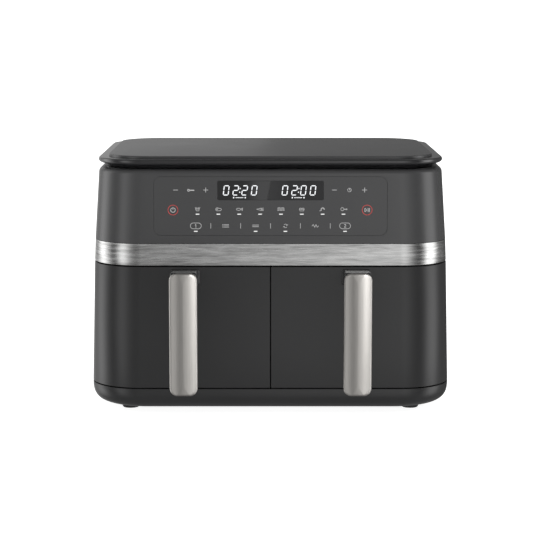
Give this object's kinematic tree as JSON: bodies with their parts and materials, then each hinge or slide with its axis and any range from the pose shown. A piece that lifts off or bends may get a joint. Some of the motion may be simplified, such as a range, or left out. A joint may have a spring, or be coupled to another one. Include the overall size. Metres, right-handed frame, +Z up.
{
  "type": "dual drawer air fryer",
  "caption": "Countertop air fryer with side-by-side cooking drawers, bar handles, a touch control panel, a steel trim band and a flat lid.",
  "frame": {"origin": "centre of the bounding box's bottom face, on the surface that the feet stand on", "axes": "+Z up, +X to the user's right when facing the drawers, drawers open towards -Y"},
  "size_m": [0.404, 0.383, 0.2895],
  "materials": {
    "satin_charcoal": "satin, fine texture",
    "satin_graphite": "satin",
    "dark_plastic": "matt",
    "gloss_black": "gloss",
    "smoked_window": "clear dark tint, gloss",
    "white_plastic": "satin",
    "circuit_green": "satin solder mask",
    "band_steel": "brushed along its length",
    "satin_nickel": "satin",
    "liner_steel": "mill finish",
    "heater_sheath": "heat-darkened",
    "fan_aluminium": "pressed",
    "non_stick": "non-stick coating on steel",
    "silicone": "matt"
  },
  "bodies": {
    "housing": {"base_pan": "satin_charcoal", "foot_front_left": "silicone", "foot_front_right": "silicone", "foot_rear_left": "silicone", "foot_rear_right": "silicone", "lower_shell": "satin_charcoal", "front_frame": "dark_plastic", "control_panel": "satin_graphite", "left_display_window": "smoked_window", "right_display_window": "smoked_window", "display_module": "white_plastic", "control_board": "circuit_green", "rear_vent": "dark_plastic", "trim_band": "band_steel", "upper_shell": "satin_graphite", "lid_rim": "gloss_black", "top_panel": "satin_graphite", "power_board": "circuit_green", "cord_gland": "dark_plastic", "left_bay_liner": "liner_steel", "left_heater": "heater_sheath", "left_motor": "liner_steel", "left_motor_bracket": "liner_steel", "left_temperature_sensor": "liner_steel", "left_drawer_switch": "dark_plastic", "right_bay_liner": "liner_steel", "right_heater": "heater_sheath", "right_motor": "liner_steel", "right_motor_bracket": "liner_steel", "right_temperature_sensor": "liner_steel", "right_drawer_switch": "dark_plastic"},
    "left_fan_rotor": {"left_hot_air_fan": "fan_aluminium", "left_cooling_fan": "dark_plastic", "left_motor_shaft": "liner_steel"},
    "left_drawer": {"left_drawer_front": "satin_charcoal", "left_drawer_inner_cover": "dark_plastic", "left_pot": "non_stick", "left_handle_arm": "gloss_black", "left_handle_cover": "satin_nickel"},
    "left_plate": {"left_crisper_plate": "non_stick", "left_plate_bumper_front_left": "silicone", "left_plate_bumper_front_right": "silicone", "left_plate_bumper_rear_left": "silicone", "left_plate_bumper_rear_right": "silicone"},
    "left_plunger": {"left_switch_plunger": "white_plastic"},
    "right_fan_rotor": {"right_hot_air_fan": "fan_aluminium", "right_cooling_fan": "dark_plastic", "right_motor_shaft": "liner_steel"},
    "right_drawer": {"right_drawer_front": "satin_charcoal", "right_drawer_inner_cover": "dark_plastic", "right_pot": "non_stick", "right_handle_arm": "gloss_black", "right_handle_cover": "satin_nickel"},
    "right_plate": {"right_crisper_plate": "non_stick", "right_plate_bumper_front_left": "silicone", "right_plate_bumper_front_right": "silicone", "right_plate_bumper_rear_left": "silicone", "right_plate_bumper_rear_right": "silicone"},
    "right_plunger": {"right_switch_plunger": "white_plastic"}
  },
  "joints": [
    {"name": "left_drawer_slide", "type": "slide", "parent": "housing", "child": "left_drawer", "axis": [0, -1, 0], "range_m": [0, 0.27]},
    {"name": "left_plate_lift", "type": "slide", "parent": "left_drawer", "child": "left_plate", "axis": [0, 0, -1], "range_m": [-0.09, 0]},
    {"name": "left_fan_spin", "type": "hinge", "parent": "housing", "child": "left_fan_rotor", "pos_m": [-0.0895, 0.0195, 0.208], "axis": [0, 0, 1], "continuous": true},
    {"name": "left_plunger_press", "type": "slide", "parent": "housing", "child": "left_plunger", "axis": [0, 1, 0], "range_m": [0, 0.0015], "stiffness_N_per_m": 120, "springref_m": -0.004},
    {"name": "right_drawer_slide", "type": "slide", "parent": "housing", "child": "right_drawer", "axis": [0, -1, 0], "range_m": [0, 0.27]},
    {"name": "right_plate_lift", "type": "slide", "parent": "right_drawer", "child": "right_plate", "axis": [0, 0, -1], "range_m": [-0.09, 0]},
    {"name": "right_fan_spin", "type": "hinge", "parent": "housing", "child": "right_fan_rotor", "pos_m": [0.0895, 0.0195, 0.208], "axis": [0, 0, 1], "continuous": true},
    {"name": "right_plunger_press", "type": "slide", "parent": "housing", "child": "right_plunger", "axis": [0, 1, 0], "range_m": [0, 0.0015], "stiffness_N_per_m": 120, "springref_m": -0.004}
  ]
}
